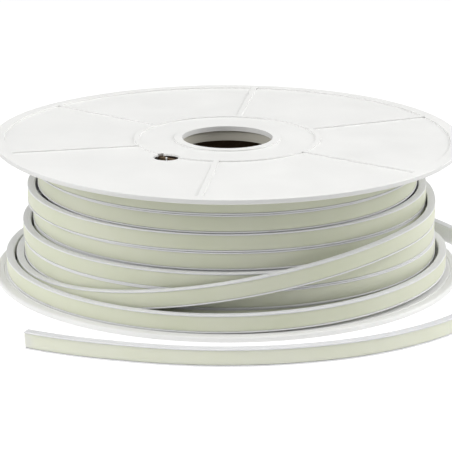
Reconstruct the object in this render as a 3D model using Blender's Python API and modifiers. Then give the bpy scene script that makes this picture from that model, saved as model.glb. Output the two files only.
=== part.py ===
"""A reel of flexible LED strip, lying flat, with the free end of the strip on the floor beside it.

The strip is a white silicone channel with a milky face, and it is wound standing on its edge.
Metres, +Z up. The origin is on the reel's axis at floor level, and -Y is the front, where the
strip's free end lies. Azimuths are in degrees from +X towards +Y, and the strip is wound, from
the inside out, towards falling azimuths.
"""
import math

import bpy
from mathutils import Matrix, Vector

# The strip's section
strip_width = 0.0114
strip_thickness = 0.0053

# The winding: rows of strip above each other, and layers of strip around each other. The rows of
# the outer layers rest on each other, with only the tight gap between them, and so do the inner
# layer's lowest row and the settled rows above it. The rows above those sit lower by what that saves.
row_count = 7
row_gap = 0.00045
tight_row_gap = 0.00005
settled_rows = 2
layer_gap = 0.0007
first_layer_radius = 0.1294
core_clearance = 0.0038

# The two moulded flanges
flange_radius = 0.155
plate_thickness = 0.0024
relief_height = 0.0010
rim_lip_width = 0.0077
rim_chamfer = 0.0006
bore_radius = 0.030
bore_lip_width = 0.0055
spigot_radius = 0.0315
spigot_wall = 0.0025
spigot_length = 0.0070
ring_radius = 0.06025
ring_width = 0.0035
rib_width = 0.0033
rib_azimuths = (82.5, 24.0, -36.5, -96.5, -161.0, 142.5)
start_hole_radius = 0.0084
start_hole_distance = 0.0632
start_hole_azimuth = -128.3

# The tube that joins the flanges, whose ends sit in a groove under each ring
hub_wall = 0.0030
hub_seat_depth = 0.0012

# Gaps between pieces that touch, and the slack above the winding
clearance = 0.0003
winding_slack = 0.00045

# The strip's free end lies on the floor, and no lower
floor_height = 0.0

# How finely round shapes are cut
flange_steps = 72
core_steps = 72
hole_steps = 32
degrees_per_point = 5.0
steps_between_stations = 12
sharp_edge_angle = 30.0

# Derived sizes
row_pitch = strip_width + row_gap
layer_pitch = strip_thickness + layer_gap
tight_row = (strip_width + tight_row_gap) / row_pitch
top_row = settled_rows * (1.0 - tight_row)
first_layer_drops = (1.0,) * (row_count - 1 - settled_rows) + (tight_row,) * settled_rows
flange_thickness = plate_thickness + relief_height
winding_bottom = flange_thickness + clearance
winding_height = row_count * row_pitch
inner_height = clearance + winding_height + winding_slack
reel_height = 2 * flange_thickness + inner_height
hub_radius = ring_radius + hub_wall / 2
core_bore_radius = hub_radius + clearance
core_radius = first_layer_radius - strip_thickness - core_clearance

# The winding's last turns. Each one starts and ends at this azimuth, behind the reel.
turn_start_azimuth = 60.0

# How far each turn stands off its layer at the right, the front and the left, from the inside out
turn_slacks = (
    (-0.0010, 0.0008, -0.0010),
    (-0.0034, 0.0003, -0.0034),
    (0.0028, 0.0010, 0.0035),
    (0.0028, 0.0008, 0.0001),
    (0.0025, 0.0, 0.0),
    (0.0025, 0.0, 0.0),
    (0.0, 0.0, 0.0),
    (0.0, 0.0, 0.0),
    (0.0036, 0.0008, 0.0003),
    (0.0030, 0.0004, 0.0009),
    (0.0024, 0.0014, -0.0003),
    (-0.0009, 0.0015, 0.0005),
)
turn_count = len(turn_slacks)

# Where the strip changes its row or its layer: the turn, the azimuths between which it does so,
# the rows that it goes down, and the layers that it goes out. It fills the inner layer from top
# to bottom, climbs three rows in the next one, crosses them to the bottom and goes once round.
first_layer_moves = tuple((turn, 112.0, 60.0, drop, 0.0) for turn, drop in enumerate(first_layer_drops))
crossing_lift = 0.21
last_turn_lift = 0.22
layer_change = (6, 132.0)
outer_moves = (
    (*layer_change, 112.0, 0.0, 1.0),
    (7, 160.0, 132.0, -tight_row, 0.0),
    (8, 160.0, 132.0, -tight_row, 0.0),
    (9, 180.0, 140.0, 0.0, 0.33),
    (9, 160.0, 132.0, 2 * tight_row - 3.0 - crossing_lift, 0.0),
    (9, 110.0, 70.0, 0.0, -0.33),
    (10, 0.0, -35.0, 0.0, 1.0),
    (10, -20.0, -160.0, 3.0 + crossing_lift, 0.0),
    (11, 50.0, 5.0, 0.0, 1.0),
    (11, 28.0, -15.0, -last_turn_lift, 0.0),
    (11, -25.0, -108.0, last_turn_lift, 0.0),
)
strip_moves = first_layer_moves + outer_moves

# The free end: azimuth, radius of its outer face and height of its lower edge, from the winding on
tail_route = (
    (60.0, 0.1474, 0.0037),
    (54.0, 0.1478, 0.0037),
    (45.0, 0.1496, 0.0037),
    (36.0, 0.1536, 0.0037),
    (27.0, 0.1592, 0.0037),
    (17.5, 0.1662, 0.0020),
    (6.0, 0.1748, 0.0006),
    (-8.0, 0.1830, 0.0001),
    (-24.0, 0.1908, 0.0),
    (-42.0, 0.1968, 0.0),
    (-60.0, 0.1990, 0.0),
    (-78.0, 0.1989, 0.0),
    (-94.0, 0.1991, 0.0),
    (-108.0, 0.2001, 0.0),
    (-118.0, 0.2034, 0.0),
    (-126.4, 0.2071, 0.0),
)
tail_points = 62

white_plastic = ("white_plastic", (0.88, 0.88, 0.87), 0.45)
cardboard = ("brown_cardboard", (0.20, 0.12, 0.07), 0.90)
silicone = ("milky_silicone", (0.72, 0.74, 0.63), 0.55)


def clear_scene():
    for thing in list(bpy.data.objects):
        bpy.data.objects.remove(thing, do_unlink=True)


def new_collection(name):
    collection = bpy.data.collections.new(name)
    bpy.context.scene.collection.children.link(collection)
    return collection


def material(look):
    name, colour, roughness = look
    found = bpy.data.materials.get(name) or bpy.data.materials.new(name)
    found.use_nodes = True
    shader = found.node_tree.nodes["Principled BSDF"]
    shader.inputs["Base Color"].default_value = (*colour, 1.0)
    shader.inputs["Roughness"].default_value = roughness
    shader.inputs["Metallic"].default_value = 0.0
    return found


def add_object(name, data, collection, look=None):
    thing = bpy.data.objects.new(name, data)
    collection.objects.link(thing)
    if look:
        data.materials.append(material(look))
    return thing


def add_turned(name, profile, steps, collection, look=None):
    """A closed profile of (radius, height) points, turned about the Z axis."""
    mesh = bpy.data.meshes.new(name)
    corners = [(radius, 0.0, height) for radius, height in profile]
    edges = [(i, (i + 1) % len(corners)) for i in range(len(corners))]
    mesh.from_pydata(corners, edges, [])
    thing = add_object(name, mesh, collection, look)
    screw = thing.modifiers.new("turn", "SCREW")
    screw.angle = math.tau
    screw.steps = steps
    screw.render_steps = steps
    screw.use_merge_vertices = True
    screw.merge_threshold = 0.00001
    return thing


def baked_mesh(thing, name):
    """The object's shape with its modifiers carried out."""
    bpy.context.view_layer.update()
    evaluated = thing.evaluated_get(bpy.context.evaluated_depsgraph_get())
    mesh = bpy.data.meshes.new_from_object(evaluated)
    mesh.name = name
    return mesh


def shade_round(mesh):
    mesh.shade_smooth()
    mesh.set_sharp_from_angle(angle=math.radians(sharp_edge_angle))


def polar(radius, azimuth, height=0.0):
    angle = math.radians(azimuth)
    return Vector((radius * math.cos(angle), radius * math.sin(angle), height))


def flange_profile():
    """The section of a flange whose inner face is at height 0 and whose outer face is above."""
    ring_in = ring_radius - ring_width / 2
    ring_out = ring_radius + ring_width / 2
    seat_in = ring_radius - hub_wall / 2 - clearance
    seat_out = ring_radius + hub_wall / 2 + clearance
    lip_in = flange_radius - rim_lip_width
    bore_lip = bore_radius + bore_lip_width
    rim = [
        (flange_radius - rim_chamfer, flange_thickness),
        (flange_radius, flange_thickness - rim_chamfer),
        (flange_radius, rim_chamfer),
        (flange_radius - rim_chamfer, 0.0),
    ]
    seat = [(seat_out, 0.0), (seat_out, hub_seat_depth), (seat_in, hub_seat_depth), (seat_in, 0.0)]
    spigot = [
        (spigot_radius + spigot_wall, 0.0),
        (spigot_radius + spigot_wall, -spigot_length),
        (spigot_radius, -spigot_length),
        (spigot_radius, 0.0),
    ]
    bore = [(bore_radius, 0.0), (bore_radius, flange_thickness), (bore_lip, flange_thickness)]
    ring = [
        (bore_lip, plate_thickness),
        (ring_in, plate_thickness),
        (ring_in, flange_thickness),
        (ring_out, flange_thickness),
        (ring_out, plate_thickness),
    ]
    lip = [(lip_in, plate_thickness), (lip_in, flange_thickness)]
    return rim + seat + spigot + bore + ring + lip


def add_rib(azimuth, collection):
    """A straight rib from the middle of the ring to the middle of the rim's lip."""
    start = ring_radius
    end = flange_radius - rim_lip_width / 2
    low = plate_thickness / 2
    bpy.ops.mesh.primitive_cube_add(size=1.0)
    rib = bpy.context.object
    rib.name = f"rib_{azimuth:g}"
    rib.data.transform(Matrix.Diagonal((end - start, rib_width, flange_thickness - low, 1.0)))
    rib.location = polar((start + end) / 2, azimuth, (flange_thickness + low) / 2)
    rib.rotation_euler.z = math.radians(azimuth)
    move_to(rib, collection)
    return rib


def add_start_hole(collection):
    """The round hole that the strip's inner end is led through when winding starts."""
    bpy.ops.mesh.primitive_cylinder_add(
        vertices=hole_steps, radius=start_hole_radius, depth=4 * flange_thickness)
    hole = bpy.context.object
    hole.name = "start_hole"
    hole.location = polar(start_hole_distance, start_hole_azimuth, flange_thickness / 2)
    move_to(hole, collection)
    return hole


def move_to(thing, collection):
    for holder in list(thing.users_collection):
        holder.objects.unlink(thing)
    collection.objects.link(thing)
    thing.display_type = "WIRE"
    thing.hide_render = True


def flange_mesh(cutters):
    """One moulded flange: plate, rim lip, ring, bore lip and spigot, ribs and start hole."""
    blank = add_turned("flange_blank", flange_profile(), flange_steps, cutters)
    tools = [(add_rib(azimuth, cutters), "UNION") for azimuth in rib_azimuths]
    tools.append((add_start_hole(cutters), "DIFFERENCE"))
    for tool, operation in tools:
        cut = blank.modifiers.new(tool.name, "BOOLEAN")
        cut.operation = operation
        cut.solver = "EXACT"
        cut.object = tool
    mesh = baked_mesh(blank, "flange")
    for thing in [blank] + [tool for tool, operation in tools]:
        bpy.data.objects.remove(thing, do_unlink=True)
    shade_round(mesh)
    return mesh


def add_flanges(parts, cutters):
    """The same moulding twice: the lower one is turned over about the X axis."""
    mesh = flange_mesh(cutters)
    top = add_object("top_flange", mesh, parts, white_plastic)
    top.location.z = reel_height - flange_thickness
    bottom = add_object("bottom_flange", mesh, parts)
    bottom.location.z = flange_thickness
    bottom.rotation_euler.x = math.pi


def add_hub(parts):
    low = flange_thickness - hub_seat_depth + clearance
    high = reel_height - low
    inner = hub_radius - hub_wall
    profile = [(hub_radius, high), (hub_radius, low), (inner, low), (inner, high)]
    hub = add_turned("hub_tube", profile, core_steps, parts, cardboard)
    shade_round(hub.data)


def add_core(parts):
    """The hidden turns as one ring, from the hub to the last two layers."""
    low = winding_bottom
    high = winding_bottom + winding_height
    profile = [(core_radius, high), (core_radius, low), (core_bore_radius, low), (core_bore_radius, high)]
    core = add_turned("strip_core", profile, core_steps, parts, silicone)
    shade_round(core.data)


def smooth_step(share):
    share = min(max(share, 0.0), 1.0)
    return share * share * (3.0 - 2.0 * share)


def swept_angle(turn, azimuth):
    """Degrees from the start of the last turns to an azimuth in the given turn."""
    return 360.0 * turn + (turn_start_azimuth - azimuth) % 360.0


def turn_place(angle):
    """Outer radius and lower edge of the strip after so many degrees of its last turns."""
    row = top_row
    layer = 0.0
    for turn, start, end, rows_down, layers_out in strip_moves:
        first = swept_angle(turn, start)
        share = smooth_step((angle - first) / (start - end))
        row += rows_down * share
        layer += layers_out * share
    azimuth = math.radians(turn_start_azimuth - angle)
    right, front, left = turn_slack(angle)
    slack = right * max(math.cos(azimuth), 0.0) ** 2
    slack += left * max(-math.cos(azimuth), 0.0) ** 2
    slack += front * max(-math.sin(azimuth), 0.0) ** 2
    radius = first_layer_radius + layer * layer_pitch + slack
    height = winding_bottom + (row_count - 1 - row) * row_pitch
    return radius, height


def turn_slack(angle):
    """The slacks of the turn. At the back, where they count for nothing, the next turn's begin."""
    turn = int((angle + 90.0 - turn_start_azimuth) // 360.0)
    return turn_slacks[min(max(turn, 0), turn_count - 1)]


def add_strip(name, places, parts):
    """A stretch of strip on its edge, through (azimuth, outer radius, lower edge) places."""
    half_width = strip_width / 2
    half_thickness = strip_thickness / 2
    section = bpy.data.curves.new(name + "_section", "CURVE")
    section.dimensions = "2D"
    outline = section.splines.new("POLY")
    outline.points.add(3)
    corners = [(1, 1), (1, -1), (-1, -1), (-1, 1)]
    for point, (side, end) in zip(outline.points, corners):
        point.co = (side * half_thickness, end * half_width, 0.0, 1.0)
    outline.use_cyclic_u = True
    guide = add_object(name + "_section", section, bpy.data.collections["cutters"])
    guide.hide_render = True
    guide.display_type = "WIRE"

    curve = bpy.data.curves.new(name, "CURVE")
    curve.dimensions = "3D"
    curve.twist_mode = "Z_UP"
    curve.bevel_mode = "OBJECT"
    curve.bevel_object = guide
    curve.use_fill_caps = True
    line = curve.splines.new("POLY")
    line.points.add(len(places) - 1)
    for point, (azimuth, radius, height) in zip(line.points, places):
        middle = polar(radius - half_thickness, azimuth, max(height, floor_height) + half_width)
        point.co = (*middle, 1.0)
    return add_object(name, curve, parts, silicone)


def add_turns(name, first, last, parts):
    """The strip's last turns, from one swept angle to another."""
    steps = range(math.floor(first / degrees_per_point) + 1, math.ceil(last / degrees_per_point))
    angles = [first] + [step * degrees_per_point for step in steps] + [last]
    add_strip(name, [(turn_start_azimuth - angle, *turn_place(angle)) for angle in angles], parts)


def add_layers(parts):
    """The last turns as two stretches that meet where the strip leaves its inner layer."""
    meeting = swept_angle(*layer_change)
    gap = math.degrees(clearance / first_layer_radius)
    add_turns("strip_inner_turns", 0.0, meeting, parts)
    add_turns("strip_outer_turns", meeting + gap, 360.0 * turn_count, parts)


def smooth_route(stations, count):
    """Points spread evenly over a smooth curve through the stations."""
    line = []
    padded = [stations[0]] + list(stations) + [stations[-1]]
    for before, start, end, after in zip(padded, padded[1:], padded[2:], padded[3:]):
        for step in range(steps_between_stations):
            line.append(catmull_rom(before, start, end, after, step / steps_between_stations))
    line.append(stations[-1])
    return [line[round(index * (len(line) - 1) / (count - 1))] for index in range(count)]


def catmull_rom(before, start, end, after, share):
    """A point between start and end on a smooth curve that also knows its neighbours."""
    result = []
    for a, b, c, d in zip(before, start, end, after):
        value = 2 * b + (c - a) * share
        value += (2 * a - 5 * b + 4 * c - d) * share ** 2
        value += (3 * b - a - 3 * c + d) * share ** 3
        result.append(value / 2)
    return tuple(result)


def add_tail(parts):
    """The free end, which starts a clearance after the winding's end."""
    start_azimuth = tail_route[0][0] - math.degrees(clearance / tail_route[0][1])
    route = [(start_azimuth, *tail_route[0][1:])] + list(tail_route[1:])
    add_strip("strip_tail", smooth_route(route, tail_points), parts)


def main():
    clear_scene()
    parts = new_collection("led_strip_reel")
    cutters = new_collection("cutters")
    add_flanges(parts, cutters)
    add_hub(parts)
    add_core(parts)
    add_layers(parts)
    add_tail(parts)


main()
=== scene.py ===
"""The looks of the reel of flexible LED strip, in the frame of its CAD model.

Metres, +Z up. The origin is on the reel's axis at floor level, and -Y is the front. Azimuths are
in degrees from +X towards +Y, and the strip is wound towards falling azimuths.
"""

import math

import bmesh
import bpy
from mathutils import Matrix, Vector


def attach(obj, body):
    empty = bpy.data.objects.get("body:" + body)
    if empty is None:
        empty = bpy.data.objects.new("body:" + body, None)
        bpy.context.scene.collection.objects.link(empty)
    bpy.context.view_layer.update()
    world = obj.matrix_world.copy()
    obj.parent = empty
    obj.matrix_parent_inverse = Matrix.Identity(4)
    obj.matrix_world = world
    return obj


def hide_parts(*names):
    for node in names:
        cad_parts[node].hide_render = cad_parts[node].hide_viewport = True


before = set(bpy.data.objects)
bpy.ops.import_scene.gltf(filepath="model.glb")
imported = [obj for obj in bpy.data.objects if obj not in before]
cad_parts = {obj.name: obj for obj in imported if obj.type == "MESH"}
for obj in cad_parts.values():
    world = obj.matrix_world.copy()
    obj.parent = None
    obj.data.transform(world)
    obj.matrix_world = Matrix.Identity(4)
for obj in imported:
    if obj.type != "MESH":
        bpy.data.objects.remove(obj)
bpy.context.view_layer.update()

# The camera, fitted to the ellipses of the two flanges
camera_place = (-0.000905, -1.49488, 0.46640)
camera_target = (-0.000905, 0.0, 0.02893)
camera_lens = 185.01
camera_sensor = 36.0
camera_near = 0.05
camera_far = 50.0

# The strip's section: a white channel with a milky face sunk between its two lips
strip_width = 0.0114
strip_thickness = 0.0053
lip_width = 0.0009
groove_width = 0.00015
pocket_depth = 0.0013
back_radius = 0.0009
lip_radius = 0.0002
lip_chamfer = 0.0001
face_depth = 0.00006
face_crown = 0.00024
face_radius = 0.0003
section_gap = 0.00003

# The winding. The hidden turns' innermost layers, the lowered ones, end one row below the others.
row_count = 7
lowered_layers = 2
row_gap = 0.00045
tight_row_gap = 0.00005
settled_rows = 2
layer_gap = 0.0007
first_layer_radius = 0.1294
core_clearance = 0.0038

# The flanges
flange_radius = 0.155
plate_thickness = 0.0024
relief_height = 0.0010
rim_lip_width = 0.0077
rim_outer_radius = 0.0005
rim_inner_radius = 0.0016
mould_line_radius = 0.1494
mould_line_width = 0.0008
mould_line_depth = 0.0005
bore_radius = 0.030
bore_lip_width = 0.0055
spigot_radius = 0.0315
spigot_wall = 0.0025
spigot_length = 0.0070
ring_radius = 0.06025
ring_width = 0.0035
rib_width = 0.0033
rib_step = 0.00003
rib_azimuths = (82.5, 24.0, -36.5, -96.5, -161.0, 142.5)
start_hole_radius = 0.0084
start_hole_distance = 0.0632
start_hole_azimuth = -128.3
start_hole_chamfer = 0.0004
start_hole_pin_radius = 0.0005
edge_radius = 0.0002
inner_edge_radius = 0.0001

# The upper flange's bend: how far its edge lifts, towards which azimuth, and how far to each side
bend_height = 0.0025
bend_azimuth = -165.0
bend_spread = 75.0

# The hub and the gaps between pieces
hub_wall = 0.0030
hub_seat_depth = 0.0012
clearance = 0.0003
winding_slack = 0.00045
floor_height = 0.0
floor_gap = 0.0002
floor_size = 12.0

# The table's glowing part, how strongly it and the rest glow, and the painted shadow under the reel:
# out to shaded_radius the glow keeps only shaded_share, and it comes back towards the flange's edge
glow_centre = 0.30
glow_half_width = 0.32
glow_half_length = 0.65
glow_edge = 0.06
table_glow = 0.95
dim_glow = 0.12
shaded_radius = 0.12
shaded_share = 0.55

# How finely shapes are cut
flange_steps = 256
core_steps = 144
hole_steps = 64
floor_segments = 4
fillet_steps = 4
degrees_per_section = 3.0
steps_between_stations = 10
sharp_edge_angle = 35.0

# Derived sizes, as in the CAD model
row_pitch = strip_width + row_gap
layer_pitch = strip_thickness + layer_gap
tight_row = (strip_width + tight_row_gap) / row_pitch
top_row = settled_rows * (1.0 - tight_row)
first_layer_drops = (1.0,) * (row_count - 1 - settled_rows) + (tight_row,) * settled_rows
flange_thickness = plate_thickness + relief_height
winding_bottom = flange_thickness + clearance
winding_height = row_count * row_pitch
reel_height = 2 * flange_thickness + clearance + winding_height + winding_slack
core_bore_radius = ring_radius + hub_wall / 2 + clearance
core_radius = first_layer_radius - strip_thickness - core_clearance
half_width = strip_width / 2
half_thickness = strip_thickness / 2

# The last turns, as in the CAD model: slacks at the right, the front and the left of each turn
turn_start_azimuth = 60.0
turn_slacks = (
    (-0.0010, 0.0008, -0.0010),
    (-0.0034, 0.0003, -0.0034),
    (0.0028, 0.0010, 0.0035),
    (0.0028, 0.0008, 0.0001),
    (0.0025, 0.0, 0.0),
    (0.0025, 0.0, 0.0),
    (0.0, 0.0, 0.0),
    (0.0, 0.0, 0.0),
    (0.0036, 0.0008, 0.0003),
    (0.0030, 0.0004, 0.0009),
    (0.0024, 0.0014, -0.0003),
    (-0.0009, 0.0015, 0.0005),
)
turn_count = len(turn_slacks)

# The turn, the azimuths between which the strip moves, the rows down and the layers out
crossing_lift = 0.21
last_turn_lift = 0.22
first_layer_moves = tuple((turn, 112.0, 60.0, drop, 0.0) for turn, drop in enumerate(first_layer_drops))
strip_moves = first_layer_moves + (
    (6, 132.0, 112.0, 0.0, 1.0),
    (7, 160.0, 132.0, -tight_row, 0.0),
    (8, 160.0, 132.0, -tight_row, 0.0),
    (9, 180.0, 140.0, 0.0, 0.33),
    (9, 160.0, 132.0, 2 * tight_row - 3.0 - crossing_lift, 0.0),
    (9, 110.0, 70.0, 0.0, -0.33),
    (10, 0.0, -35.0, 0.0, 1.0),
    (10, -20.0, -160.0, 3.0 + crossing_lift, 0.0),
    (11, 50.0, 5.0, 0.0, 1.0),
    (11, 28.0, -15.0, -last_turn_lift, 0.0),
    (11, -25.0, -108.0, last_turn_lift, 0.0),
)

# The free end: azimuth, radius of its outer face and height of its lower edge
tail_route = (
    (60.0, 0.1474, 0.0037),
    (54.0, 0.1478, 0.0037),
    (45.0, 0.1496, 0.0037),
    (36.0, 0.1536, 0.0037),
    (27.0, 0.1592, 0.0037),
    (17.5, 0.1662, 0.0020),
    (6.0, 0.1748, 0.0006),
    (-8.0, 0.1830, 0.0001),
    (-24.0, 0.1908, 0.0),
    (-42.0, 0.1968, 0.0),
    (-60.0, 0.1990, 0.0),
    (-78.0, 0.1989, 0.0),
    (-94.0, 0.1991, 0.0),
    (-108.0, 0.2001, 0.0),
    (-118.0, 0.2034, 0.0),
    (-126.4, 0.2071, 0.0),
)
tail_lean = 5.0
lean_start_radius = 0.160
lean_full_radius = 0.190
sealed_end_length = 0.004

# How deep light goes into the silicone, and its shades, in the winding and in the open.
# These are lit and shaded copies of one silicone. The tail's face is painted lighter than the winding's
# face, as painted light.
# The tail's top and bottom sides are painted darker than its lips and back, as painted shade.
wound_depth = 0.0004
free_depth = 0.0030
wound_side_shades = ((0.730, 0.732, 0.738), (0.755, 0.757, 0.762))
shaded_free_side_shades = ((0.595, 0.598, 0.608), (0.620, 0.622, 0.632))
lip_shades = ((0.740, 0.742, 0.754), (0.765, 0.767, 0.778))
wound_face_shades = ((0.655, 0.677, 0.533), (0.680, 0.695, 0.568))
lit_free_face_shades = ((0.770, 0.792, 0.635), (0.795, 0.812, 0.668))
sealed_end_colour = (0.75, 0.76, 0.68)
silicone_ior = 1.41

# The plastic's colours, and the warm grey of painted shade and the cardboard's reflected light on the
# spigots' inner walls
plastic_shades = ((0.755, 0.755, 0.742), (0.785, 0.785, 0.770))
painted_bore_shade_colour = (0.56, 0.54, 0.47)

# The cardboard's colours, how far its seam climbs in one turn, and the seam's share of a turn
board_shades = ((0.080, 0.052, 0.030), (0.125, 0.086, 0.052))
fleck_colour = (0.18, 0.135, 0.09)
seam_colour = (0.05, 0.03, 0.018)
seam_climb = 0.11
seam_share = 0.012

# The table's colours
table_shades = ((0.16, 0.16, 0.16), (0.18, 0.18, 0.18))

# The softboxes: name, place, the point that each faces, side length and power
softboxes = (
    ("overhead", (0.0, 0.0, 1.7), (0.0, 0.0, 0.0), 1.8, 20.5),
    ("left", (-1.7, -0.2, 0.8), (0.0, 0.0, 0.05), 1.2, 15.5),
    ("right", (1.65, 0.45, 0.8), (0.0, 0.0, 0.05), 1.2, 23.0),
    ("front_left", (-1.1, -1.1, 1.3), (0.0, 0.0, 0.05), 1.2, 8.0),
    ("front_right", (1.1, -1.1, 1.3), (0.0, 0.0, 0.05), 1.2, 8.0),
)
sky_strength = 0.10


def polar(radius, azimuth, height=0.0):
    """The point at a radius, an azimuth in degrees and a height."""
    angle = math.radians(azimuth)
    return Vector((radius * math.cos(angle), radius * math.sin(angle), height))


# Camera

def add_camera():
    camera = bpy.data.cameras.new("camera")
    camera.sensor_width = camera_sensor
    camera.lens = camera_lens
    camera.clip_start = camera_near
    camera.clip_end = camera_far
    holder = bpy.data.objects.new("camera", camera)
    bpy.context.scene.collection.objects.link(holder)
    holder.location = camera_place
    view = Vector(camera_target) - Vector(camera_place)
    holder.rotation_euler = view.to_track_quat("-Z", "Y").to_euler()
    bpy.context.scene.camera = holder


# Materials

class Nodes:
    """A short way to write a node material."""

    def __init__(self, name):
        self.material = bpy.data.materials.new(name)
        self.material.use_nodes = True
        self.tree = self.material.node_tree
        self.shader = self.tree.nodes["Principled BSDF"]
        self.output = self.tree.nodes["Material Output"]

    def add(self, kind, inputs=(), **settings):
        node = self.tree.nodes.new("ShaderNode" + kind)
        for name, value in settings.items():
            setattr(node, name, value)
        for name, value in dict(inputs).items():
            if isinstance(value, bpy.types.NodeSocket):
                self.tree.links.new(value, node.inputs[name])
            else:
                node.inputs[name].default_value = value
        return node

    def link(self, source, name):
        self.tree.links.new(source, self.shader.inputs[name])

    def set(self, **values):
        for name, value in values.items():
            self.shader.inputs[name.replace("_", " ")].default_value = value

    def place(self):
        return self.add("TexCoord").outputs["Object"]

    def noise(self, vector, scale, detail=3.0, roughness=0.5):
        return self.add("TexNoise", {"Vector": vector, "Scale": scale, "Detail": detail,
                                     "Roughness": roughness}).outputs["Fac"]

    def spread(self, value, low, high, out_low, out_high):
        return self.add("MapRange", {"Value": value, "From Min": low, "From Max": high,
                                     "To Min": out_low, "To Max": out_high}).outputs["Result"]

    def mixed(self, factor, first, second):
        node = self.add("Mix", data_type="RGBA")
        for socket, value in ((0, factor), (6, first), (7, second)):
            if isinstance(value, bpy.types.NodeSocket):
                self.tree.links.new(value, node.inputs[socket])
            else:
                node.inputs[socket].default_value = value
        return node.outputs[2]

    def shaded(self, factor, shades):
        """A colour between two shades, as the factor says."""
        dull, bright = shades
        return self.mixed(factor, (*dull, 1.0), (*bright, 1.0))

    def cloudy(self, place, scale, shades):
        """A colour that drifts between two shades in soft clouds."""
        clouds = self.spread(self.noise(place, scale, 4.0), 0.35, 0.65, 0.0, 1.0)
        return self.shaded(clouds, shades)

    def bump(self, height, strength, distance):
        node = self.add("Bump", {"Height": height, "Strength": strength, "Distance": distance})
        self.link(node.outputs["Normal"], "Normal")


def moulded_plastic():
    """Satin white plastic with a fine moulded grain, with painted shade in a warm grey on the spigots' inner
    walls.
    """
    made = Nodes("moulded_plastic")
    place = made.place()
    white = made.cloudy(place, 14.0, plastic_shades)
    parts = made.add("SeparateXYZ", {"Vector": place}).outputs
    flat = made.add("CombineXYZ", {"X": parts["X"], "Y": parts["Y"]}).outputs["Vector"]
    away = made.add("VectorMath", {0: flat}, operation="LENGTH").outputs["Value"]
    # Painted shade: the spigots' inner walls, deep in the bore, get a darker warm grey for shade and the
    # cardboard's reflected light.
    near = made.add("Math", {0: away, 1: spigot_radius + spigot_wall / 2}, operation="LESS_THAN").outputs[0]
    level = made.add("Math", {0: parts["Z"], 1: reel_height / 2}, operation="SUBTRACT").outputs[0]
    level = made.add("Math", {0: level}, operation="ABSOLUTE").outputs[0]
    depth = reel_height / 2 - flange_thickness
    inner = made.add("Math", {0: level, 1: depth}, operation="LESS_THAN").outputs[0]
    bore_shade = made.add("Math", {0: near, 1: inner}, operation="MULTIPLY").outputs[0]
    made.link(made.mixed(bore_shade, white, (*painted_bore_shade_colour, 1.0)), "Base Color")
    made.link(made.spread(made.noise(place, 60.0, 5.0), 0.3, 0.7, 0.40, 0.50), "Roughness")
    made.bump(made.noise(place, 2600.0, 2.0), 0.10, 0.00008)
    made.set(Specular_IOR_Level=0.4)
    return made.material


def cardboard():
    """Brown board wound in a slanting seam, with paper fibre."""
    made = Nodes("wound_cardboard")
    place = made.place()
    parts = made.add("SeparateXYZ", {"Vector": place}).outputs
    angle = made.add("Math", {0: parts["Y"], 1: parts["X"]}, operation="ARCTAN2").outputs[0]
    turns = made.add("Math", {0: angle, 1: 1.0 / math.tau}, operation="MULTIPLY").outputs[0]
    climb = made.add("Math", {0: parts["Z"], 1: 1.0 / seam_climb, 2: turns},
                     operation="MULTIPLY_ADD").outputs[0]
    phase = made.add("Math", {0: climb}, operation="FRACT").outputs[0]
    seam = made.add("Math", {0: phase, 1: seam_share}, operation="LESS_THAN").outputs[0]
    fibre = made.noise(place, 420.0, 6.0, 0.7)
    tone = made.shaded(made.noise(place, 30.0, 4.0), board_shades)
    flecks = made.mixed(made.spread(fibre, 0.55, 0.75, 0.0, 0.5), tone, (*fleck_colour, 1.0))
    made.link(made.mixed(seam, flecks, (*seam_colour, 1.0)), "Base Color")
    made.set(Roughness=0.9, Specular_IOR_Level=0.2)
    made.bump(fibre, 0.35, 0.0002)
    return made.material


def white_silicone(name, depth, shades):
    """The channel: translucent white silicone, into which light goes as deep as told."""
    made = Nodes(name)
    place = made.place()
    made.link(made.cloudy(place, 45.0, shades), "Base Color")
    made.link(made.spread(made.noise(place, 160.0, 4.0), 0.3, 0.7, 0.42, 0.56), "Roughness")
    made.bump(made.noise(place, 900.0, 3.0), 0.12, 0.00006)
    made.set(Subsurface_Weight=0.5, Subsurface_Radius=(1.0, 1.0, 0.95), Subsurface_Scale=depth)
    made.set(Specular_IOR_Level=0.35, IOR=silicone_ior)
    return made.material


def milky_silicone(name, depth, shades):
    """The face: cream silicone with a green cast, paler where the cut end is sealed."""
    made = Nodes(name)
    place = made.place()
    cream = made.cloudy(place, 22.0, shades)
    azimuth, radius, height = tail_route[-1]
    end = polar(radius - half_thickness, azimuth, height + half_width)
    away = made.add("VectorMath", {0: place, 1: tuple(end)}, operation="DISTANCE").outputs["Value"]
    sealed = made.spread(away, sealed_end_length, 2 * sealed_end_length, 1.0, 0.0)
    made.link(made.mixed(sealed, cream, (*sealed_end_colour, 1.0)), "Base Color")
    made.link(made.spread(made.noise(place, 160.0, 4.0), 0.3, 0.7, 0.46, 0.60), "Roughness")
    made.bump(made.noise(place, 700.0, 3.0), 0.10, 0.00006)
    made.set(Subsurface_Weight=0.5, Subsurface_Radius=(1.0, 1.0, 0.85), Subsurface_Scale=depth)
    made.set(Specular_IOR_Level=0.3, IOR=silicone_ior)
    return made.material


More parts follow.
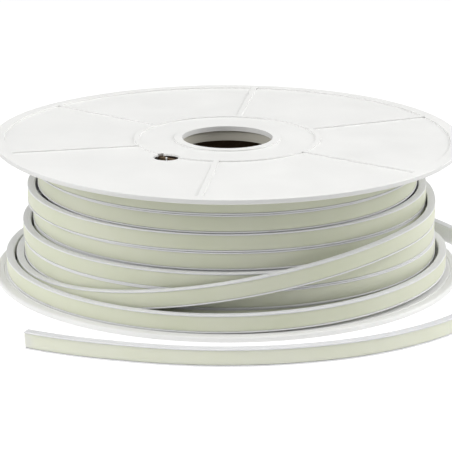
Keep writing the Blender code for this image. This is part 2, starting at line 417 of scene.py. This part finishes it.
def pale_floor():
    """A table that glows white around the reel, less under it as a painted shadow, and stays dim further
    off.
    """
    made = Nodes("pale_floor")
    place = made.place()
    parts = made.add("SeparateXYZ", {"Vector": place}).outputs
    across = made.add("Math", {0: parts["X"]}, operation="ABSOLUTE").outputs[0]
    forwards = made.add("Math", {0: parts["Y"], 1: -glow_centre}, operation="ADD").outputs[0]
    along = made.add("Math", {0: forwards}, operation="ABSOLUTE").outputs[0]
    near_x = made.spread(across, glow_half_width, glow_half_width + glow_edge, 1.0, 0.0)
    near_y = made.spread(along, glow_half_length, glow_half_length + glow_edge, 1.0, 0.0)
    near = made.add("Math", {0: near_x, 1: near_y}, operation="MULTIPLY").outputs[0]
    away = made.add("VectorMath", {0: place}, operation="LENGTH").outputs["Value"]
    # Painted shadow: the glow drops under the reel.
    open_table = made.spread(away, shaded_radius, flange_radius, shaded_share, 1.0)
    near = made.add("Math", {0: near, 1: open_table}, operation="MULTIPLY").outputs[0]
    made.link(made.shaded(made.noise(place, 3.0), table_shades), "Base Color")
    made.link(made.spread(near, 0.0, 1.0, dim_glow, table_glow), "Emission Strength")
    made.set(Roughness=1.0, Specular_IOR_Level=0.0, Emission_Color=(1.0, 1.0, 1.0, 1.0))
    return made.material


# Shapes

def add_piece(name, mesh, looks, slot, *nodes):
    """A visible piece with its looks, which stands for the named CAD nodes."""
    piece = bpy.data.objects.new(name, mesh)
    bpy.context.scene.collection.objects.link(piece)
    for look in looks:
        mesh.materials.append(look)
    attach(piece, "root")
    if nodes:
        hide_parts(*nodes)
    return piece


def finished(builder, name):
    """The bmesh as a mesh with outward faces and smooth round parts."""
    bmesh.ops.recalc_face_normals(builder, faces=builder.faces)
    mesh = bpy.data.meshes.new(name)
    builder.to_mesh(mesh)
    builder.free()
    mesh.shade_smooth()
    mesh.set_sharp_from_angle(angle=math.radians(sharp_edge_angle))
    return mesh


def filleted(corners):
    """A closed outline whose (x, y, radius) corners are rounded."""
    outline = []
    count = len(corners)
    for index, (x, y, radius) in enumerate(corners):
        corner = Vector((x, y))
        before = Vector(corners[index - 1][:2]) - corner
        after = Vector(corners[(index + 1) % count][:2]) - corner
        if radius <= 0.0:
            outline.append(corner)
            continue
        before.normalize()
        after.normalize()
        half = before.angle(after) / 2
        reach = radius / math.tan(half)
        centre = corner + (before + after).normalized() * (radius / math.sin(half))
        start = corner + before * reach - centre
        end = corner + after * reach - centre
        swing = start.angle_signed(end)
        for step in range(fillet_steps + 1):
            turn = Matrix.Rotation(-swing * step / fillet_steps, 2)
            outline.append(centre + turn @ start)
    return outline


def turned(outline, steps):
    """A closed (radius, height) outline turned about the Z axis, as a bmesh."""
    builder = bmesh.new()
    rings = []
    for step in range(steps):
        azimuth = 360.0 * step / steps
        rings.append([builder.verts.new(polar(radius, azimuth, height)) for radius, height in outline])
    count = len(outline)
    for ring, following in zip(rings, rings[1:] + rings[:1]):
        for index in range(count):
            other = (index + 1) % count
            builder.faces.new((ring[index], ring[other], following[other], following[index]))
    return builder


def flange_outline():
    """The section of a flange whose inner face is at height 0 and whose outer face is above."""
    ring_in = ring_radius - ring_width / 2
    ring_out = ring_radius + ring_width / 2
    seat_in = ring_radius - hub_wall / 2 - clearance
    seat_out = ring_radius + hub_wall / 2 + clearance
    bore_lip = bore_radius + bore_lip_width
    top = flange_thickness
    plate = plate_thickness
    return filleted([
        (flange_radius, top, rim_outer_radius),
        (flange_radius, 0.0, rim_inner_radius),
        (mould_line_radius + mould_line_width / 2, 0.0, 0.0),
        (mould_line_radius, mould_line_depth, 0.0),
        (mould_line_radius - mould_line_width / 2, 0.0, 0.0),
        (seat_out, 0.0, 0.0),
        (seat_out, hub_seat_depth, 0.0),
        (seat_in, hub_seat_depth, 0.0),
        (seat_in, 0.0, 0.0),
        (spigot_radius + spigot_wall, 0.0, edge_radius),
        (spigot_radius + spigot_wall, -spigot_length, edge_radius),
        (spigot_radius, -spigot_length, edge_radius),
        (spigot_radius, 0.0, 0.0),
        (bore_radius, 0.0, inner_edge_radius),
        (bore_radius, top, edge_radius),
        (bore_lip, top, edge_radius),
        (bore_lip, plate, inner_edge_radius),
        (ring_in, plate, inner_edge_radius),
        (ring_in, top, edge_radius),
        (ring_out, top, edge_radius),
        (ring_out, plate, inner_edge_radius),
        (flange_radius - rim_lip_width, plate, inner_edge_radius),
        (flange_radius - rim_lip_width, top, edge_radius),
    ])


def rib_shape(azimuth):
    """A straight rib with rounded top edges, from the ring to the rim's lip and a hair below them."""
    start = ring_radius
    end = flange_radius - rim_lip_width / 2
    low = plate_thickness / 2
    high = flange_thickness - rib_step
    outline = filleted([
        (-rib_width / 2, low, 0.0),
        (rib_width / 2, low, 0.0),
        (rib_width / 2, high, edge_radius),
        (-rib_width / 2, high, edge_radius),
    ])
    builder = bmesh.new()
    ends = [[builder.verts.new((place, side, height)) for side, height in outline] for place in (start, end)]
    count = len(outline)
    for index in range(count):
        other = (index + 1) % count
        builder.faces.new((ends[0][index], ends[0][other], ends[1][other], ends[1][index]))
    builder.faces.new(ends[0])
    builder.faces.new(ends[1])
    bmesh.ops.rotate(builder, verts=builder.verts, matrix=Matrix.Rotation(math.radians(azimuth), 3, "Z"))
    return builder


def hole_shape():
    """The start hole's cutter, which flares at the outer face for a small chamfer.

    It is a tube, so a loose pin of start_hole_pin_radius stays in the middle of the hole.
    """
    deep = 2 * flange_thickness
    wide = start_hole_radius + start_hole_chamfer
    builder = turned([
        (start_hole_pin_radius, -deep),
        (start_hole_radius, -deep),
        (start_hole_radius, flange_thickness - start_hole_chamfer),
        (wide + deep, flange_thickness + deep),
        (start_hole_pin_radius, flange_thickness + deep),
    ], hole_steps)
    bmesh.ops.translate(builder, verts=builder.verts, vec=polar(start_hole_distance, start_hole_azimuth))
    return builder


def helper(builder, name):
    """A hidden object that a Boolean uses."""
    thing = bpy.data.objects.new(name, finished(builder, name))
    bpy.context.scene.collection.objects.link(thing)
    return thing


def carved(blank, tools):
    """The mesh of the blank after its Booleans, with the helpers removed again."""
    for tool, operation in tools:
        cut = blank.modifiers.new(tool.name, "BOOLEAN")
        cut.operation = operation
        cut.solver = "EXACT"
        cut.object = tool
    even = blank.modifiers.new("even_normals", "WEIGHTED_NORMAL")
    even.keep_sharp = True
    bpy.context.view_layer.update()
    evaluated = blank.evaluated_get(bpy.context.evaluated_depsgraph_get())
    mesh = bpy.data.meshes.new_from_object(evaluated)
    for thing in [blank] + [tool for tool, operation in tools]:
        bpy.data.objects.remove(thing, do_unlink=True)
    return mesh


def bend_upwards(mesh):
    """Lifts one side of the flange outside its ring, as on a flange that was bent a little in use."""
    middle = polar(1.0, bend_azimuth)
    for vertex in mesh.vertices:
        flat = Vector((vertex.co.x, vertex.co.y, 0.0))
        outwards = smooth_step((flat.length - ring_radius - ring_width) / (flange_radius - ring_radius))
        sideways = math.degrees(flat.angle(middle)) if outwards else bend_spread
        vertex.co.z += bend_height * outwards * smooth_step(1.0 - sideways / bend_spread)


def add_flanges(look):
    """The same moulding twice: the lower one is turned over about the X axis, the upper one bent."""
    blank = helper(turned(flange_outline(), flange_steps), "flange_blank")
    tools = [(helper(rib_shape(azimuth), "rib"), "UNION") for azimuth in rib_azimuths]
    tools.append((helper(hole_shape(), "hole"), "DIFFERENCE"))
    top = carved(blank, tools)
    bottom = top.copy()
    top.transform(Matrix.Translation((0.0, 0.0, reel_height - flange_thickness)))
    bend_upwards(top)
    bottom.transform(Matrix.Translation((0.0, 0.0, flange_thickness)) @ Matrix.Rotation(math.pi, 4, "X"))
    add_piece("upper_flange", top, [look], "reel_plastic", "top_flange")
    add_piece("lower_flange", bottom, [look], "reel_plastic", "bottom_flange")


def core_outline():
    """The hidden turns' ring, with a groove between each two layers on both its ends."""
    low = winding_bottom
    high = winding_bottom + winding_height
    inner_high = high - row_pitch
    layers = round((core_radius - core_bore_radius) / layer_pitch)
    pitch = (core_radius - core_bore_radius) / layers
    depth = lip_width
    top = []
    bottom = []
    for layer in range(layers):
        start = core_bore_radius + layer * pitch
        end = start + pitch - layer_gap
        height = inner_high if layer < lowered_layers else high
        bottom += [(start, low), (end, low)]
        top += [(start, height), (end, height)]
        if layer < layers - 1:
            bottom += [(end, low + depth), (end + layer_gap, low + depth)]
            top += [(end, height - depth), (end + layer_gap, height - depth)]
    return bottom + top[::-1]


# The strip

def smooth_step(share):
    share = min(max(share, 0.0), 1.0)
    return share * share * (3.0 - 2.0 * share)


def swept_angle(turn, azimuth):
    """Degrees from the start of the last turns to an azimuth in the given turn."""
    return 360.0 * turn + (turn_start_azimuth - azimuth) % 360.0


def turn_slack(angle):
    """The slacks of the turn. At the back, where they count for nothing, the next turn's begin."""
    turn = int((angle + 90.0 - turn_start_azimuth) // 360.0)
    return turn_slacks[min(max(turn, 0), turn_count - 1)]


def turn_place(angle):
    """Outer radius and lower edge of the strip after so many degrees of its last turns."""
    row = top_row
    layer = 0.0
    for turn, start, end, rows_down, layers_out in strip_moves:
        first = swept_angle(turn, start)
        share = smooth_step((angle - first) / (start - end))
        row += rows_down * share
        layer += layers_out * share
    azimuth = math.radians(turn_start_azimuth - angle)
    right, front, left = turn_slack(angle)
    slack = right * max(math.cos(azimuth), 0.0) ** 2
    slack += left * max(-math.cos(azimuth), 0.0) ** 2
    slack += front * max(-math.sin(azimuth), 0.0) ** 2
    radius = first_layer_radius + layer * layer_pitch + slack
    height = winding_bottom + (row_count - 1 - row) * row_pitch
    return radius, height


def catmull_rom(before, start, end, after, share):
    """A point between start and end on a smooth curve that also knows its neighbours."""
    result = []
    for a, b, c, d in zip(before, start, end, after):
        value = 2 * b + (c - a) * share
        value += (2 * a - 5 * b + 4 * c - d) * share ** 2
        value += (3 * b - a - 3 * c + d) * share ** 3
        result.append(value / 2)
    return tuple(result)


def smooth_route(stations):
    """Points on a smooth curve through the stations."""
    line = []
    padded = [stations[0]] + list(stations) + [stations[-1]]
    for before, start, end, after in zip(padded, padded[1:], padded[2:], padded[3:]):
        for step in range(steps_between_stations):
            line.append(catmull_rom(before, start, end, after, step / steps_between_stations))
    line.append(stations[-1])
    return line


def middle_line(places):
    """The strip's middle line through (azimuth, outer radius, lower edge) places."""
    return [polar(radius - half_thickness, azimuth, max(height, floor_height) + half_width)
            for azimuth, radius, height in places]


def channel_section():
    """The channel's outline as (outwards, up) points: its back, its lips and its pocket."""
    inner = half_width - lip_width
    floor = half_thickness - pocket_depth
    return filleted([
        (floor, inner, 0.0),
        (half_thickness, inner, lip_chamfer),
        (half_thickness, half_width, lip_radius),
        (-half_thickness, half_width, back_radius),
        (-half_thickness, -half_width, back_radius),
        (half_thickness, -half_width, lip_radius),
        (half_thickness, -inner, lip_chamfer),
        (floor, -inner, 0.0),
    ])


def face_section():
    """The milky face's outline, slightly crowned and lower than the lips."""
    side = half_width - lip_width - groove_width
    floor = half_thickness - pocket_depth + section_gap
    edge = half_thickness - face_depth - face_crown
    middle = half_thickness - face_depth
    return filleted([
        (floor, side, 0.0),
        (floor, -side, 0.0),
        (edge, -side, face_radius),
        (middle - face_crown / 3, -side / 2, 0.0),
        (middle, 0.0, 0.0),
        (middle - face_crown / 3, side / 2, 0.0),
        (edge, side, face_radius),
    ])


def swept(line, section, leans, looks):
    """The section swept along the line, up side up. A second look is for its front and back."""
    builder = bmesh.new()
    rings = []
    for index, point in enumerate(line):
        before = line[max(index - 1, 0)]
        after = line[min(index + 1, len(line) - 1)]
        along = (after - before).normalized()
        up = (Vector((0.0, 0.0, 1.0)) - along * along.z).normalized()
        turn = Matrix.Rotation(leans[index], 3, along)
        out = turn @ up.cross(along)
        up = turn @ up
        rings.append([builder.verts.new(point + out * u + up * v) for u, v in section])
    count = len(section)
    for ring, following in zip(rings, rings[1:]):
        for index in range(count):
            other = (index + 1) % count
            face = builder.faces.new((ring[index], ring[other], following[other], following[index]))
            reach = min(abs(section[index].x), abs(section[other].x))
            face.material_index = int(looks > 1 and reach > half_thickness - lip_radius / 2)
    builder.faces.new(rings[0])
    builder.faces.new(rings[-1])
    return builder


def add_tail(side_look, lip_look, face_look):
    """The free end, which is a flat cord that lies on the floor."""
    route = smooth_route(tail_route)
    line = middle_line(route)
    leans = []
    for point, (_, radius, _) in zip(line, route):
        share = smooth_step((radius - lean_start_radius) / (lean_full_radius - lean_start_radius))
        lean = math.radians(tail_lean) * share
        leans.append(-lean)
        point.z += half_thickness * math.sin(lean) - half_width * (1.0 - math.cos(lean))
    channel = add_piece("tail_channel", finished(swept(line, channel_section(), leans, 2), "tail_channel"),
                        [side_look, lip_look], "strip_silicone", "strip_tail")
    face = add_piece("tail_face", finished(swept(line, face_section(), leans, 1), "tail_face"),
                     [face_look], "strip_silicone")


def add_turns(side_look, lip_look, face_look):
    """The last turns of the winding, in one piece each for the channel and its face."""
    count = round(360.0 * turn_count / degrees_per_section)
    angles = [index * degrees_per_section for index in range(count + 1)]
    line = middle_line([(turn_start_azimuth - angle, *turn_place(angle)) for angle in angles])
    leans = [0.0] * len(line)
    add_piece("wound_channel", finished(swept(line, channel_section(), leans, 2), "wound_channel"),
              [side_look, lip_look], "strip_silicone", "strip_inner_turns", "strip_outer_turns")
    add_piece("wound_face", finished(swept(line, face_section(), leans, 1), "wound_face"),
              [face_look], "strip_silicone")


# Floor and light

def add_floor(look):
    builder = bmesh.new()
    bmesh.ops.create_grid(builder, x_segments=floor_segments, y_segments=floor_segments,
                          size=floor_size / 2)
    bmesh.ops.translate(builder, verts=builder.verts, vec=(0.0, 0.0, floor_height - floor_gap))
    mesh = bpy.data.meshes.new("floor")
    builder.to_mesh(mesh)
    builder.free()
    mesh.materials.append(look)
    floor = bpy.data.objects.new("floor", mesh)
    bpy.context.scene.collection.objects.link(floor)


def add_softbox(name, place, target, size, power):
    light = bpy.data.lights.new(name, "AREA")
    light.shape = "RECTANGLE"
    light.size = size
    light.size_y = size
    light.energy = power
    holder = bpy.data.objects.new(name, light)
    bpy.context.scene.collection.objects.link(holder)
    holder.location = place
    view = Vector(target) - Vector(place)
    holder.rotation_euler = view.to_track_quat("-Z", "Y").to_euler()


def add_light():
    world = bpy.data.worlds.new("studio")
    world.use_nodes = True
    sky = world.node_tree.nodes["Background"]
    sky.inputs["Color"].default_value = (1.0, 1.0, 1.0, 1.0)
    sky.inputs["Strength"].default_value = sky_strength
    bpy.context.scene.world = world
    for softbox in softboxes:
        add_softbox(*softbox)
    bpy.context.scene.view_settings.view_transform = "Standard"


def main():
    add_camera()
    wound_look = white_silicone("wound_silicone", wound_depth, wound_side_shades)
    # The tail's looks are lit and shaded copies of the winding's silicone: painted light on its face,
    # painted shade on its sides.
    add_tail(white_silicone("free_silicone", free_depth, shaded_free_side_shades),
             white_silicone("free_lips", free_depth, lip_shades),
             milky_silicone("free_face", free_depth, lit_free_face_shades))
    add_turns(wound_look,
              white_silicone("wound_lips", wound_depth, lip_shades),
              milky_silicone("wound_face", wound_depth, wound_face_shades))
    add_flanges(moulded_plastic())
    core = finished(turned(core_outline(), core_steps), "hidden_turns")
    add_piece("hidden_turns", core, [wound_look], "strip_silicone", "strip_core")
    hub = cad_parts["hub_tube"]
    hub.material_slots[0].material = cardboard()
    add_floor(pale_floor())
    add_light()


main()
